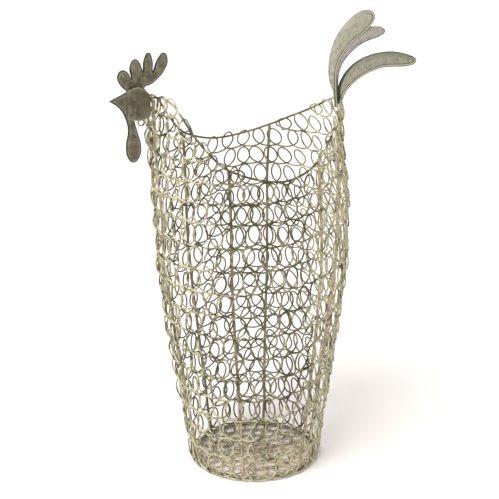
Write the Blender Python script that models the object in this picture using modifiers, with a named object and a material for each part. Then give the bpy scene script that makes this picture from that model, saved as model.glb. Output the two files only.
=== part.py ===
"""A tall rooster-shaped wire basket in aged zinc-coloured metal, in metres.

The floor is z = 0 and the base is centred on the origin. The head looks along -X, the tail is at +X, and the
left side of the bird is -Y. The object is symmetric about y = 0, except that the tiers of wire start to rise
sooner on the right and the three tail feathers lie side by side in Y. A bearing is the angle round the body
from the head, in degrees: 0 at the head, 90 on the left side, 180 at the tail.

The body is a tapering cage: ribs stand on a base ring, tiers of looped wire run round outside them, and a rim
wire closes the open top, which rises to a neck at the head and to a point at the tail. Each tier is one wire.
It is modelled here as a plain zigzag with one tooth for each loop.
"""

import math

import bmesh
import bpy
from mathutils import Matrix, Vector

MM = 0.001
GAP = 0.3 * MM  # left between pieces that touch

# Body
BASE_RADIUS = 71.5 * MM
BODY_RADIUS = 106 * MM  # half of the body's length from the shoulder up
SHOULDER_HEIGHT = 255 * MM
FLARE = 1.1  # how early the sides curve in towards upright: 1 is a straight cone
FLATTENING = 0.07  # how much narrower than long the body is at the shoulder
TOP_START = 300 * MM  # where the neck starts to lean out and the back to narrow
NECK_REACH = 4.5 * MM  # how far the neck leans out towards the head
NECK_RISE = 90 * MM
TAIL_PINCH = 0.8  # how much the back of the open top narrows at the tail, to a point
PINCH_POWER = 2.5  # how closely the narrowing keeps to the tail
PINCH_RISE = 110 * MM

# Wires
RING_HEIGHT = 4 * MM
RING_STEPS = 48
BAR_SIDES = 8  # of the base ring's and the floor bars' sections, which stand on a flat
RIB_WIRE = 1.7 * MM
TIER_WIRE = 1 * MM
RIM_WIRE = 1.3 * MM
FLOOR_WIRE = 1 * MM
RIB_BEARINGS = {
    "head": 0, "left_front": 60, "left_back": 118, "tail": 180, "right_back": 242, "right_front": 300,
}

# Rim: its height at bearings from the head round to the tail, the same on both sides
RIM_HEIGHTS = (
    (0, 446 * MM), (22, 445 * MM), (32, 435 * MM), (42, 416 * MM), (50, 399 * MM), (60, 381 * MM),
    (86, 365 * MM), (102, 370 * MM), (118, 384 * MM), (134, 400 * MM), (158, 423 * MM), (180, 427 * MM),
)
RIM_POINTS = 60

# Tiers of loops
FIRST_TIER = 3 * MM
BODY_TIERS = 13  # at the wider pitch
BODY_PITCH = 26.3 * MM
NECK_PITCH = 22.4 * MM
RING_TIERS = 14  # tiers that go right round, below the lowest point of the rim
NECK_TIERS = 4
TAIL_TIERS = 2
LOOP_SPACING = 17 * MM
TAIL_LIFT = 17 * MM  # how much higher a tier runs at the tail than at the head
LIFT_START = 60  # degrees from the head where a tier starts to rise, on either side
LEFT_LIFT_END = 180  # degrees from the head where it has risen, steadily on the left and sooner on the right
RIGHT_LIFT_END = 110
LEVEL_HEIGHT = 80 * MM  # below this the rise fades out towards the level base
SHORTEST_LOOP = 10 * MM
RIM_MARGIN = 2  # degrees either side of a loop that stay below the sloping rim
RIB_STEPS = 36

# Floor: curls in each row, from the outside in
FLOOR_CURLS = (24, 18, 12, 6)
FLOOR_CENTRE = 6 * MM

# Head
PLATE_THICKNESS = 1.2 * MM
CHEEK_THICKNESS = 1 * MM
CHEEK_BOTTOM = 422 * MM
CHEEK_TOP = 453 * MM
CHEEK_DOME = 5 * MM  # how far the top edge rises between the plate and the neck
CHEEK_FALL = 3 * MM  # how far the top edge falls at the neck
CHEEK_TUCK = 5 * MM  # how far the bottom edge rises at the neck
CHEEK_FRONT = -139.5 * MM
CHEEK_BACK = -117.5 * MM
CHEEK_SPREAD = 14 * MM
CHEEK_STEPS = 10
CLIP_CENTRE = (-125 * MM, 0, 417.3 * MM)
CLIP_RADIUS = 3.5 * MM
CLIP_POINTS = 12
CLIP_WIRE = 0.7 * MM

# Flat outlines as (x, z, whether it is a sharp corner), in mm
HEAD_OUTLINE = (
    (-120, 454, False), (-112, 458, False), (-104, 464, False), (-97, 472, False), (-93, 483, False),
    (-97, 491, False), (-103, 487, False), (-110, 472, True),
    (-110, 485, False), (-114, 492, False), (-119, 486, False), (-121, 473, True),
    (-124, 482, False), (-129, 486, False), (-135, 479, False), (-134, 466, True),
    (-138, 473, False), (-144, 475, False), (-149, 469, False), (-146, 459, False), (-139, 452, True),
    (-159, 443, True), (-148, 434, False),
    (-142, 422, False), (-140, 410, False), (-143, 392, False), (-141, 379, False), (-135, 374, False),
    (-128, 380, False), (-126, 393, False), (-129, 406, False), (-133, 422.5, True),
    (-118.5, 422.5, True), (-118.5, 453, True),
)
UPPER_FEATHER = (
    (102.5, 416, True), (100.5, 431, False), (94.5, 448, False), (94, 468, False), (98, 486, False),
    (105, 500, False), (115.5, 512, False), (128, 521, False), (139.5, 523.5, False), (147.5, 521, False),
    (150, 515.5, False), (146.5, 507.5, False), (137.5, 498.5, False), (123, 488.5, False),
    (113, 477.5, False), (105.5, 464, False), (103.8, 450, False), (104.5, 436, False), (106.2, 416, True),
)
MIDDLE_FEATHER = (
    (102, 416, True), (100.5, 446, False), (111.5, 481, False), (133.5, 501, False), (145, 504.5, False),
    (152, 504.5, False), (159, 503, False), (163.5, 498.5, False), (158, 493.5, False), (147, 490, False),
    (136.5, 486.5, False), (124, 478.5, False), (114.5, 469, False), (108.5, 458, False), (106.3, 440, False),
    (105.2, 416, True),
)
LOWER_FEATHER = (
    (103, 416, True), (102.6, 428, False), (103, 439, False), (107.5, 450, False), (115.5, 460, False),
    (127.5, 468.5, False), (142.5, 474, False), (156, 476, False), (170.5, 476, False), (183, 473.5, False),
    (192, 470.5, False), (198.5, 467, False), (200.5, 463.5, False), (198.5, 460.5, False),
    (193, 458.5, False), (185, 457.8, False), (174, 458.3, False), (158.5, 458.3, False),
    (145, 455, False), (132, 449.5, False),
    (120.5, 441.5, False), (113, 435, False), (106.3, 429.5, True), (106.2, 416, True),
)

# Colours
AGED_ZINC = (0.40, 0.37, 0.28)
DARK_ZINC = (0.15, 0.13, 0.09)
PALE_ZINC = (0.44, 0.41, 0.34)


def clear_scene():
    for thing in list(bpy.data.objects):
        bpy.data.objects.remove(thing)


def new_collection(name):
    collection = bpy.data.collections.new(name)
    bpy.context.scene.collection.children.link(collection)
    return collection


def metal(name, colour, roughness=0.6, metallic=0.7):
    """A Principled material for one piece."""
    material = bpy.data.materials.new(name)
    material.use_nodes = True
    shader = material.node_tree.nodes["Principled BSDF"]
    shader.inputs["Base Color"].default_value = (*colour, 1)
    shader.inputs["Roughness"].default_value = roughness
    shader.inputs["Metallic"].default_value = metallic
    material.diffuse_color = (*colour, 1)
    return material


def add(name, data, collection, colour):
    """Puts curve or mesh data in the scene as a named piece with its own material."""
    piece = bpy.data.objects.new(name, data)
    collection.objects.link(piece)
    data.materials.append(metal(name, colour))
    return piece


def clamp(value):
    return min(max(value, 0.0), 1.0)


def smooth(value):
    """0 to 1 with level ends, for a value from 0 to 1."""
    value = clamp(value)
    return value * value * (3 - 2 * value)


def radius_at(height):
    """Half of the body's length at a height."""
    rise = clamp(height / SHOULDER_HEIGHT)
    return BODY_RADIUS - (BODY_RADIUS - BASE_RADIUS) * (1 - rise) ** FLARE


def body_point(bearing, height, outward=0.0):
    """A point on the ribs' centre surface, moved outward."""
    angle = math.radians(bearing)
    toward_head = max(math.cos(angle), 0.0) * smooth((height - TOP_START) / NECK_RISE)
    pinch = TAIL_PINCH * max(-math.cos(angle), 0.0) ** PINCH_POWER * smooth((height - TOP_START) / PINCH_RISE)
    radius = radius_at(height)
    half_length = radius + NECK_REACH * toward_head
    flattening = 1 - FLATTENING * clamp(height / SHOULDER_HEIGHT)
    half_width = radius * flattening * (1 - pinch)
    return Vector((
        -(half_length + outward) * math.cos(angle),
        -(half_width + outward) * math.sin(angle),
        height,
    ))


def from_head(bearing):
    """The bearing folded onto one side, 0 to 180."""
    bearing = bearing % 360
    return min(bearing, 360 - bearing)


def rim_height(bearing):
    """The rim's height, through RIM_HEIGHTS by a Catmull-Rom curve that is level at the head and tail."""
    bearing = from_head(bearing)
    known = ((-RIM_HEIGHTS[1][0], RIM_HEIGHTS[1][1]), *RIM_HEIGHTS,
             (360 - RIM_HEIGHTS[-2][0], RIM_HEIGHTS[-2][1]))
    at = next(i for i in range(2, len(known) - 1) if bearing <= known[i][0])
    before, start, end, after = known[at - 2:at + 2]
    span = end[0] - start[0]
    t = (bearing - start[0]) / span
    start_slope = (end[1] - before[1]) / (end[0] - before[0]) * span
    end_slope = (after[1] - start[1]) / (after[0] - start[0]) * span
    return ((2 * t**3 - 3 * t**2 + 1) * start[1] + (t**3 - 2 * t**2 + t) * start_slope
            + (3 * t**2 - 2 * t**3) * end[1] + (t**3 - t**2) * end_slope)


def tier_height(tier, bearing):
    """The height of a tier's lower edge. Tiers run level past the head and rise towards the tail."""
    wide_pitches = min(tier, BODY_TIERS - 1)
    rise = wide_pitches * BODY_PITCH + (tier - wide_pitches) * NECK_PITCH
    lift_end = RIGHT_LIFT_END if bearing % 360 > 180 else LEFT_LIFT_END
    turn = clamp((from_head(bearing) - LIFT_START) / (lift_end - LIFT_START))
    lift = TAIL_LIFT * clamp(rise / LEVEL_HEIGHT) * (1 - math.cos(math.pi * turn)) / 2
    return FIRST_TIER + rise + lift


def wire(name, points, radius, collection, closed=False, resolution=1, twist="MINIMUM"):
    """A round wire along the points, with 4 + 2 * resolution sides."""
    curve = bpy.data.curves.new(name, "CURVE")
    curve.dimensions = "3D"
    curve.twist_mode = twist
    curve.bevel_depth = radius
    curve.bevel_resolution = resolution
    curve.use_fill_caps = True
    spline = curve.splines.new("POLY")
    spline.points.add(len(points) - 1)
    for spot, point in zip(spline.points, points):
        spot.co = (*point, 1)
    spline.use_cyclic_u = closed
    return add(name, curve, collection, AGED_ZINC)


def sheet(name, outline, side, collection, colour):
    """A flat sheet in an XZ plane at y = side. The outline's points are (x, z, corner), in mm."""
    curve = bpy.data.curves.new(name, "CURVE")
    curve.dimensions = "2D"
    curve.fill_mode = "BOTH"
    curve.extrude = PLATE_THICKNESS / 2
    curve.resolution_u = 4
    spline = curve.splines.new("BEZIER")
    spline.bezier_points.add(len(outline) - 1)
    for spot, (x, z, corner) in zip(spline.bezier_points, outline):
        spot.co = (x * MM, z * MM, 0)
        spot.handle_left_type = spot.handle_right_type = "VECTOR" if corner else "AUTO"
    spline.use_cyclic_u = True
    piece = add(name, curve, collection, colour)
    piece.rotation_euler = (math.pi / 2, 0, 0)
    piece.location = (0, side, 0)
    return piece


def base_ring(collection):
    """A ring turned from a many-sided section that stands on one of its flats."""
    corner = RING_HEIGHT / 2 / math.cos(math.pi / BAR_SIDES)
    mesh = bpy.data.meshes.new("base_ring")
    angles = [math.pi * (1 - 2 * i) / BAR_SIDES for i in range(BAR_SIDES)]
    section = [
        (BASE_RADIUS + corner * math.cos(a), 0, RING_HEIGHT / 2 + corner * math.sin(a)) for a in angles
    ]
    mesh.from_pydata(section, [(i, (i + 1) % BAR_SIDES) for i in range(BAR_SIDES)], [])
    ring = add("base_ring", mesh, collection, AGED_ZINC)
    screw = ring.modifiers.new("Turn", "SCREW")
    screw.steps = screw.render_steps = RING_STEPS
    screw.use_merge_vertices = True
    screw.merge_threshold = 0.01 * MM
    screw.use_smooth_shade = False


def ribs(collection):
    """Upright wires inside the tiers, from the base ring to the rim."""
    for place, bearing in RIB_BEARINGS.items():
        bottom = RING_HEIGHT + GAP
        top = rim_height(bearing)
        heights = [bottom + (top - bottom) * i / RIB_STEPS for i in range(RIB_STEPS + 1)]
        wire("rib_" + place, [body_point(bearing, height) for height in heights], RIB_WIRE, collection)


def rim(collection):
    """One closed wire along the saddle-shaped edge, against the ribs' outer sides."""
    outward = RIB_WIRE + GAP + RIM_WIRE
    bearings = [360 * i / RIM_POINTS for i in range(RIM_POINTS)]
    points = [body_point(bearing, rim_height(bearing), outward) for bearing in bearings]
    wire("rim", points, RIM_WIRE, collection, closed=True)


def tier_ends(tier, middle):
    """The bearings where a part tier ends on each side of the head (middle 0) or the tail (middle 180)."""
    ends = []
    for step in (-1, 1):
        end = middle
        while rim_height(end) - tier_height(tier, end) > SHORTEST_LOOP:
            end += step
        ends.append(end)
    return ends


def tier(name, number, start, end, collection):
    """One tier's wire as a zigzag between bearings, closed if it goes right round."""
    closed = end - start == 360
    outward = RIB_WIRE + GAP + TIER_WIRE
    length = math.radians(end - start) * radius_at(tier_height(number, start))
    teeth = round(length / LOOP_SPACING)
    points = []
    for i in range(2 * teeth + (not closed)):
        bearing = start + (end - start) * i / (2 * teeth)
        height = tier_height(number, bearing) + TIER_WIRE
        if i % 2:
            under_tier = tier_height(number + 1, bearing) - GAP - TIER_WIRE
            lowest_rim = min(rim_height(bearing - RIM_MARGIN), rim_height(bearing + RIM_MARGIN))
            under_rim = lowest_rim - RIM_WIRE - GAP - TIER_WIRE
            height = min(under_tier, under_rim)
        points.append(body_point(bearing, height, outward))
    wire(name, points, TIER_WIRE, collection, closed=closed, resolution=0, twist="Z_UP")


def tiers(collection):
    for number in range(RING_TIERS):
        tier(f"tier_{number + 1:02d}", number, 0, 360, collection)
    for place, middle, count in (("neck", 0, NECK_TIERS), ("tail", 180, TAIL_TIERS)):
        for i in range(count):
            number = RING_TIERS + i
            tier(f"tier_{place}_{i + 1}", number, *tier_ends(number, middle), collection)


def cross_bar(name, angle, reach, collection):
    """A straight bar lying across the base through its centre, with one flat on the ground."""
    corner = FLOOR_WIRE / math.cos(math.pi / BAR_SIDES)
    mesh = bpy.data.meshes.new(name)
    shape = bmesh.new()
    bmesh.ops.create_cone(
        shape, cap_ends=True, segments=BAR_SIDES, radius1=corner, radius2=corner, depth=2 * reach
    )
    bmesh.ops.rotate(shape, verts=shape.verts, matrix=Matrix.Rotation(math.pi / BAR_SIDES, 3, "Z"))
    shape.to_mesh(mesh)
    shape.free()
    bar = add(name, mesh, collection, AGED_ZINC)
    bar.rotation_euler = (0, math.pi / 2, angle)
    bar.location = (0, 0, FLOOR_WIRE)
    return bar


def floor(collection, cutters):
    """Rows of curled wire on three crossed bars, inside the base ring."""
    reach = BASE_RADIUS - RING_HEIGHT / 2 - GAP
    cross = cross_bar("floor_cross", 0, reach, collection)
    for i in (1, 2):
        weld = cross.modifiers.new(f"Weld {i}", "BOOLEAN")
        weld.operation = "UNION"
        weld.solver = "EXACT"
        weld.object = cross_bar(f"cross_bar_{i}", math.pi * i / 3, reach, cutters)
    row_pitch = (reach - FLOOR_CENTRE) / len(FLOOR_CURLS)
    row_depth = row_pitch - 2 * FLOOR_WIRE - GAP
    for number, curls in enumerate(FLOOR_CURLS):
        outer = reach - number * row_pitch - FLOOR_WIRE
        points = []
        for i in range(2 * curls):
            angle = math.pi * i / curls
            radius = outer - row_depth * (i % 2)
            points.append((radius * math.cos(angle), radius * math.sin(angle), 3 * FLOOR_WIRE + GAP))
        wire(f"floor_row_{number + 1}", points, FLOOR_WIRE, collection, closed=True, resolution=0)


def cheek(name, side, collection):
    """Half of the face: an upright sheet curved from the head plate round to the neck, with a domed top."""
    inner = PLATE_THICKNESS / 2 + GAP
    points = []
    for i in range(CHEEK_STEPS + 1):
        angle = math.pi / 2 * i / CHEEK_STEPS
        back = 1 - math.cos(angle)
        x = CHEEK_FRONT + (CHEEK_BACK - CHEEK_FRONT) * back
        y = side * (inner + (CHEEK_SPREAD - inner) * math.sin(angle))
        points.append((x, y, CHEEK_BOTTOM + CHEEK_TUCK * back**4))
        points.append((x, y, CHEEK_TOP + CHEEK_DOME * math.sin(math.pi * back) - CHEEK_FALL * back**3))
    faces = [(i, i + 1, i + 3, i + 2) for i in range(0, 2 * CHEEK_STEPS, 2)]
    mesh = bpy.data.meshes.new(name)
    mesh.from_pydata(points, [], faces)
    piece = add(name, mesh, collection, DARK_ZINC)
    shell = piece.modifiers.new("Thickness", "SOLIDIFY")
    shell.thickness = CHEEK_THICKNESS
    shell.offset = 0


def head(collection):
    """The comb, beak and wattle cut from one sheet, the two cheeks and the small ring under them."""
    sheet("head_plate", HEAD_OUTLINE, 0, collection, DARK_ZINC)
    cheek("cheek_left", -1, collection)
    cheek("cheek_right", 1, collection)
    x, y, z = CLIP_CENTRE
    angles = [math.tau * i / CLIP_POINTS for i in range(CLIP_POINTS)]
    points = [(x + CLIP_RADIUS * math.cos(a), y, z + CLIP_RADIUS * math.sin(a)) for a in angles]
    wire("chin_ring", points, CLIP_WIRE, collection, closed=True, resolution=0)


def tail(collection):
    """Three blades whose roots lie against the sides of the tail rib."""
    beside_rib = RIB_WIRE + GAP + PLATE_THICKNESS / 2
    sheet("feather_lower", LOWER_FEATHER, -beside_rib, collection, PALE_ZINC)
    sheet("feather_upper", UPPER_FEATHER, beside_rib, collection, PALE_ZINC)
    sheet("feather_middle", MIDDLE_FEATHER, beside_rib + PLATE_THICKNESS + GAP, collection, PALE_ZINC)


def build():
    clear_scene()
    basket = new_collection("Rooster basket")
    cutters = new_collection("Cutters")
    base_ring(basket)
    floor(basket, cutters)
    ribs(basket)
    tiers(basket)
    rim(basket)
    head(basket)
    tail(basket)
    for cutter in cutters.objects:
        cutter.hide_render = True
        cutter.display_type = "WIRE"


build()
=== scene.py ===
"""The looks of the rooster wire basket, in metres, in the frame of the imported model.

The floor is z = 0, the base is centred on the origin, the head looks along -X and the left side is -Y.
A bearing is the angle round the body from the head, in degrees: 90 is the left side and 180 the tail.
Every piece rides on the one rigid body, in place of one of the plain CAD solids.
"""

import math
import random

import bpy
import numpy as np
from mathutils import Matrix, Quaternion, Vector
from mathutils.geometry import delaunay_2d_cdt


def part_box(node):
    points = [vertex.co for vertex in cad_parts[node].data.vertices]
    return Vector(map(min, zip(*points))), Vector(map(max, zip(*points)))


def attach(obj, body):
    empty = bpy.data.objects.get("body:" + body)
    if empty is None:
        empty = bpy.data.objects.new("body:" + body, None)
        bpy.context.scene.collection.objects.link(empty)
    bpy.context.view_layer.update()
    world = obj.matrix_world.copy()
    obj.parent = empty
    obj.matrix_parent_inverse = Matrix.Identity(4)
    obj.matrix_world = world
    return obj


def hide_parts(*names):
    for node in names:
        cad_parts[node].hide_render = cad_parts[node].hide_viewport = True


MM = 0.001

# Body shape, as in the CAD
RING_HEIGHT = 4 * MM
BODY_RADIUS = 106 * MM  # half of the body's length from the shoulder up
SHOULDER_HEIGHT = 255 * MM
FLARE = 1.1  # how early the sides curve in towards upright: 1 is a straight cone
FLATTENING = 0.07  # how much narrower than long the body is at the shoulder
TOP_START = 300 * MM  # where the neck starts to lean out and the back to narrow
NECK_REACH = 4.5 * MM  # how far the neck leans out towards the head
NECK_RISE = 90 * MM
TAIL_PINCH = 0.8  # how much the back of the open top narrows at the tail
PINCH_POWER = 2.5  # how closely the narrowing keeps to the tail
PINCH_RISE = 110 * MM
RIB_BEARINGS = {
    "head": 0, "left_front": 60, "left_back": 118, "tail": 180, "right_back": 242, "right_front": 300,
}
FIRST_TIER = 3 * MM
BODY_TIERS = 13  # at the wider pitch
BODY_PITCH = 26.3 * MM
NECK_PITCH = 22.4 * MM
RING_TIERS = 14  # tiers that go right round, below the lowest point of the rim
NECK_TIERS = 4
TAIL_TIERS = 2
TAIL_LIFT = 17 * MM  # how much higher a tier runs at the tail than at the head
LIFT_START = 60  # degrees from the head where a tier starts to rise, on either side
LEFT_LIFT_END = 180  # degrees from the head where it has risen, sooner on the right
RIGHT_LIFT_END = 110
LEVEL_HEIGHT = 80 * MM  # below this the rise fades out towards the level base
SHORTEST_LOOP = 10 * MM  # a part tier ends where the rim leaves less room than this

# Rim: its height at bearings from the head round to the tail. The CAD's rim is the same on both sides. Here
# each side has its own hand-bent curve, and beside the neck they differ the most.
LEFT_RIM = (
    (0, 445 * MM), (18, 448 * MM), (27, 443.5 * MM), (33, 433 * MM), (42, 411.5 * MM), (50, 395 * MM),
    (60, 379 * MM), (86, 365 * MM), (102, 370 * MM), (118, 384 * MM), (134, 400 * MM), (158, 423 * MM),
    (180, 427 * MM),
)
RIGHT_RIM = (
    (0, 445 * MM), (12, 441 * MM), (22, 438 * MM), (33, 435 * MM), (42, 423 * MM), (50, 405 * MM),
    (60, 385 * MM), (72, 374 * MM), (86, 369 * MM), (102, 373 * MM), (118, 385 * MM), (134, 402 * MM),
    (158, 424 * MM), (180, 427 * MM),
)
RIM_OUTWARD = 4.4 * MM  # from the ribs' centres to the rim's
RIM_TAIL_OUTWARD = 2.6 * MM
RIM_CLOSES_IN = 140  # the bearing from which the rim draws in towards the tail
RIM_STEP = 2  # degrees

# Wires
RIB_RADIUS = 1.7 * MM
TAIL_RIB_RADIUS = 2.2 * MM
LOOP_RADIUS = 0.93 * MM
RIM_RADIUS = 1.2 * MM
LEFT_SPACING = 16.5 * MM  # along the baseline from one loop to the next
RIGHT_SPACING = 18.5 * MM
LEFT_WIDTH = 17.5 * MM
RIGHT_WIDTH = 15.5 * MM
TAIL_NARROWING = 0.2  # how much narrower the right side's loops are at the tail
LEFT_TAIL_LEAN = -3 * MM  # how far the loops at the tail lean towards the head
RIGHT_TAIL_LEAN = 11 * MM
LOOP_STEPS = 24  # points in each loop
CROSSING = 1.35 * MM  # how far a loop's two sides part where the wire crosses itself
WEAVE = 0.9 * MM  # how far a baseline stands out from the loops that end behind it
OVERSHOOT = 0.3 * MM  # how far a loop reaches past the baseline above it
FOOT_DROP = 1 * MM  # how much lower the first tier's baseline lies, round the outside of the base ring
FOOT_FLARE = 0.8 * MM  # and how much further out
TIER_OUTWARD = RIB_RADIUS + LOOP_RADIUS + 0.6 * MM
RIB_STEPS = 60
RIB_BEND = 14 * MM  # the length of a rib's top that bends out under the rim
RIB_REACH = 0.6  # how much of the way out to the rim it comes
SEAM_TURN = 137  # degrees from where one full tier starts to where the next does, so that no seams line up
RING_STEP = 0.06  # radians from one point of the base ring to the next

# How uneven the hand-made wires are
SPACING_SPREAD = 0.15  # of the spacing
WIDTH_RANGE = (0.82, 1.15)  # of the width
LEAN_SPREAD = 1.8 * MM
RIB_WANDER = 0.5 * MM  # how far the hand-bent ribs and rim waver
RIM_WANDER = 0.4 * MM
KNOT_POINTS = 5  # points from one random shift of such a wire to the next
LOWEST_DIP, HIGHEST_DIP = -1.2, 0.9  # mm from a tier's even baseline
STRETCH_RANGE = (-2.0, 0.8)  # mm by which a loop is taller than its tier
FLATTEST, ROUNDEST = -0.5, 2.0  # mm that a loop bulges out in its middle
HEAD_BULGE = 2.0  # mm more at the head, for the roundest
FOOT_HUG = 1.2 * MM  # how much less the first tier bulges
HUGGING_TIERS = 5  # the number of tiers over which that fades out
PROUD_TOPS = (1.0, 1.5, 2.5, 4.0, 5.0)  # mm by which a tall loop may stand past the rim
HEAD_SHORTFALL = 1.5 * MM  # how far below the rim's top they all stop at the head

# Floor
FLOOR_HEIGHT = 3.4 * MM
FLOOR_CURLS = (26, 19, 13, 7)  # loops in each row, from the outside in
CURL_WIDTH = 16 * MM
CURL_DEPTH = 20 * MM  # from the row's outside in towards the centre
CURL_SPREAD = 0.15  # of the width
CURL_DEPTH_RANGE = (0.9, 1.1)  # of the depth
CURL_LIMIT = 0.9  # of the way in to the centre: no curl goes further
CURL_TILT = (-0.3, 0.7)  # mm by which a curl's inner end is higher than its outer one
CURL_LEAN_SPREAD = 1.5 * MM
CURL_WEAVE = 0.5 * WEAVE
CURL_CROSSING = 0.6 * CROSSING
CROSS_WIRES = 3
CROSS_RADIUS = 1 * MM
CROSS_RIPPLE = 0.3 * MM
CROSS_STEPS = 20

# Hood, as in the CAD
PLATE_GAP = 0.3 * MM
CHEEK_BOTTOM = 422 * MM
CHEEK_TOP = 453 * MM
CHEEK_DOME = 5 * MM  # how far the top edge rises between the plate and the neck
CHEEK_FALL = 3 * MM  # how far the top edge falls at the neck
CHEEK_TUCK = 5 * MM  # how far the bottom edge rises at the neck

# Hood, in the looks only
CHEEK_HALF = 0.5 * MM  # half of a cheek's thickness
CHEEK_COLUMNS, CHEEK_ROWS = 20, 24
CHEEK_EDGE = 0.3 * MM  # how far its edges are rounded off
CHEEK_BULGE = 1.0 * MM  # how far its middle stands out
CROWN_START = 0.72  # how far up it starts to turn in, from 0 to 1
CROWN_TURN = 2.2 * MM  # how far in its top edge comes

# Sheets
SHEET_HALF = 0.6 * MM  # half of a sheet's thickness
OUTLINE_STEP = 1.0 * MM
GRID_STEP = 1.5 * MM
EDGE_RINGS = (0.15, 0.4, 0.8, 1.2, 1.6, 2.1, 2.7)  # mm in from a sheet's edge
RING_CLEARANCE = 0.93  # of its inset: a ring's point that is nearer to some edge is left out
GRID_INSET = 3.3 * MM  # where the grid takes over from the rings
BORDER_RIDGE = (1.3 * MM, 0.6 * MM, 0.45 * MM)  # the head plate's: distance from the edge, width, height
CUSHION_HEIGHT = 0.5 * MM
CUSHION_START = 2.2 * MM  # in from the edge
CUSHION_SLOPE = 3 * MM
HEM_RIDGE = (1.1 * MM, 0.7 * MM, 0.55 * MM)  # a feather's: distance from the edge, width, height
HEM_END = 1 * MM  # this near its end the hem's ridge is gone
HEM_FADE = 8 * MM  # and this much further on it is full
PAST_TIP = 9  # points by which the hem goes round the tip
DISH_DEPTH = 2.4 * MM  # how far a feather's middle stands out to the left of its edge
DISH_SLOPE = 9 * MM  # the width of the slope between them
DISH_START = 430 * MM  # the height where the dish starts, above the flat root
DISH_RISE = 20 * MM
NOTCHES = 3  # between the comb's four lobes
NOTCH_FLOOR = 462 * MM  # they all end above this height
NOTCH_NEAR = 6  # a notch's bottom is lower than this many points on each side of it
NOTCH_POINTS = 9  # along the side of a notch

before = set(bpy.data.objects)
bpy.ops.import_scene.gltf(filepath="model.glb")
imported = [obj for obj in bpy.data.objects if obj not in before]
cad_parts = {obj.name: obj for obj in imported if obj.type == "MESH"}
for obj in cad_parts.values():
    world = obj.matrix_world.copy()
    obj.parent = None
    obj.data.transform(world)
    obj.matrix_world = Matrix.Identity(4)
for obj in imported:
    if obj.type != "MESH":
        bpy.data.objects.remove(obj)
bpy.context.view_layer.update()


def clamp(value):
    """The value kept within 0 to 1."""
    return min(max(value, 0.0), 1.0)


def smooth(value):
    """The value clamped to 0 to 1, with level ends."""
    value = clamp(value)
    return value * value * (3 - 2 * value)


def box_sides(node):
    low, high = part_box(node)
    return [high[i] - low[i] for i in range(3)]


BASE_RADIUS = (box_sides("base_ring")[0] - RING_HEIGHT) / 2


# Body surface


def radius_at(height):
    """Half of the body's length at a height."""
    rise = clamp(height / SHOULDER_HEIGHT)
    return BODY_RADIUS - (BODY_RADIUS - BASE_RADIUS) * (1 - rise) ** FLARE


def body_point(bearing, height, outward=0.0):
    """A point on the ribs' centre surface, moved outward."""
    angle = math.radians(bearing)
    toward_head = max(math.cos(angle), 0.0) * smooth((height - TOP_START) / NECK_RISE)
    pinch = TAIL_PINCH * max(-math.cos(angle), 0.0) ** PINCH_POWER * smooth((height - TOP_START) / PINCH_RISE)
    radius = radius_at(height)
    half_length = radius + NECK_REACH * toward_head
    flattening = 1 - FLATTENING * clamp(height / SHOULDER_HEIGHT)
    half_width = radius * flattening * (1 - pinch)
    return Vector((
        -(half_length + outward) * math.cos(angle),
        -(half_width + outward) * math.sin(angle),
        height,
    ))


def from_head(bearing):
    """The bearing folded onto one side, 0 to 180."""
    bearing = bearing % 360
    return min(bearing, 360 - bearing)


def rim_height(bearing):
    """The rim's height: a Catmull-Rom curve through its side's known heights, level at the head and tail."""
    heights = RIGHT_RIM if bearing % 360 > 180 else LEFT_RIM
    bearing = from_head(bearing)
    known = ((-heights[1][0], heights[1][1]), *heights, (360 - heights[-2][0], heights[-2][1]))
    at = next(i for i in range(2, len(known) - 1) if bearing <= known[i][0])
    before, start, end, after = known[at - 2:at + 2]
    span = end[0] - start[0]
    t = (bearing - start[0]) / span
    start_slope = (end[1] - before[1]) / (end[0] - before[0]) * span
    end_slope = (after[1] - start[1]) / (after[0] - start[0]) * span
    return ((2 * t**3 - 3 * t**2 + 1) * start[1] + (t**3 - 2 * t**2 + t) * start_slope
            + (3 * t**2 - 2 * t**3) * end[1] + (t**3 - t**2) * end_slope)


def tier_height(tier, bearing):
    """The height of a tier's lower edge. Tiers run level past the head and rise towards the tail."""
    wide_pitches = min(tier, BODY_TIERS - 1)
    rise = wide_pitches * BODY_PITCH + (tier - wide_pitches) * NECK_PITCH
    lift_end = RIGHT_LIFT_END if bearing % 360 > 180 else LEFT_LIFT_END
    turn = clamp((from_head(bearing) - LIFT_START) / (lift_end - LIFT_START))
    lift = TAIL_LIFT * clamp(rise / LEVEL_HEIGHT) * (1 - math.cos(math.pi * turn)) / 2
    return FIRST_TIER + rise + lift


def tier_ends(tier, middle):
    """The bearings where a part tier ends on each side of the head (middle 0) or the tail (middle 180)."""
    ends = []
    for step in (-1, 1):
        end = middle
        while rim_height(end) - tier_height(tier, end) > SHORTEST_LOOP:
            end += step
        ends.append(end)
    return ends


# Materials


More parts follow.
